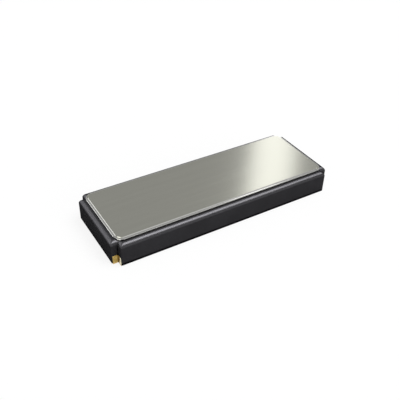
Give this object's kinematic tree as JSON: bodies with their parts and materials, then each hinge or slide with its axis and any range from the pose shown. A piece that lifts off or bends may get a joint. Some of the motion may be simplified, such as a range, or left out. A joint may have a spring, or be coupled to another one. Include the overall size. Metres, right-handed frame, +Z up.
{
  "type": "surface-mount crystal oscillator",
  "caption": "Flat black ceramic surface-mount crystal oscillator with notched corners, a soldered metal lid, gold pads, and a tuning fork, chip and bond wires inside",
  "frame": {"origin": "Middle of the footprint, on the undersides of the solder pads", "axes": "+X along the package's length towards the ground and output end, +Y across it towards the supply and output side, +Z up through the lid"},
  "size_m": [0.0042, 0.0016, 0.0004],
  "materials": {
    "black_ceramic": "black fired alumina, matte with a faint sheen",
    "lid_metal": "satin nickel-plated iron-nickel alloy",
    "gold_plate": "gold plating over nickel on fired metal",
    "gold_wire": "drawn gold wire",
    "fired_tungsten": "fired tungsten paste",
    "seal_solder": "gold-tin solder",
    "quartz": "clear etched quartz",
    "electrode_film": "thin evaporated metal film",
    "silver_glue": "silver-filled conducting glue",
    "silicon": "polished silicon",
    "contact_metal": "aluminium contact squares"
  },
  "bodies": {
    "root": {"ceramic_base": "black_ceramic", "solder_pad_enable": "gold_plate", "solder_pad_ground": "gold_plate", "solder_pad_output": "gold_plate", "solder_pad_supply": "gold_plate", "via_enable": "fired_tungsten", "via_ground": "fired_tungsten", "via_output": "fired_tungsten", "via_supply": "fired_tungsten", "floor_trace_enable": "gold_plate", "floor_trace_ground": "gold_plate", "floor_trace_output": "gold_plate", "floor_trace_supply": "gold_plate", "crystal_land_in": "gold_plate", "crystal_land_out": "gold_plate", "glue_dot_in": "silver_glue", "glue_dot_out": "silver_glue", "tuning_fork": "quartz", "electrode_in": "electrode_film", "electrode_out": "electrode_film", "chip_glue": "silver_glue", "oscillator_chip": "silicon", "chip_contacts": "contact_metal", "bond_wire_enable": "gold_wire", "bond_wire_ground": "gold_wire", "bond_wire_output": "gold_wire", "bond_wire_supply": "gold_wire", "bond_wire_crystal_in": "gold_wire", "bond_wire_crystal_out": "gold_wire", "seal_band": "gold_plate", "seal_solder": "seal_solder", "lid": "lid_metal"}
  },
  "joints": []
}
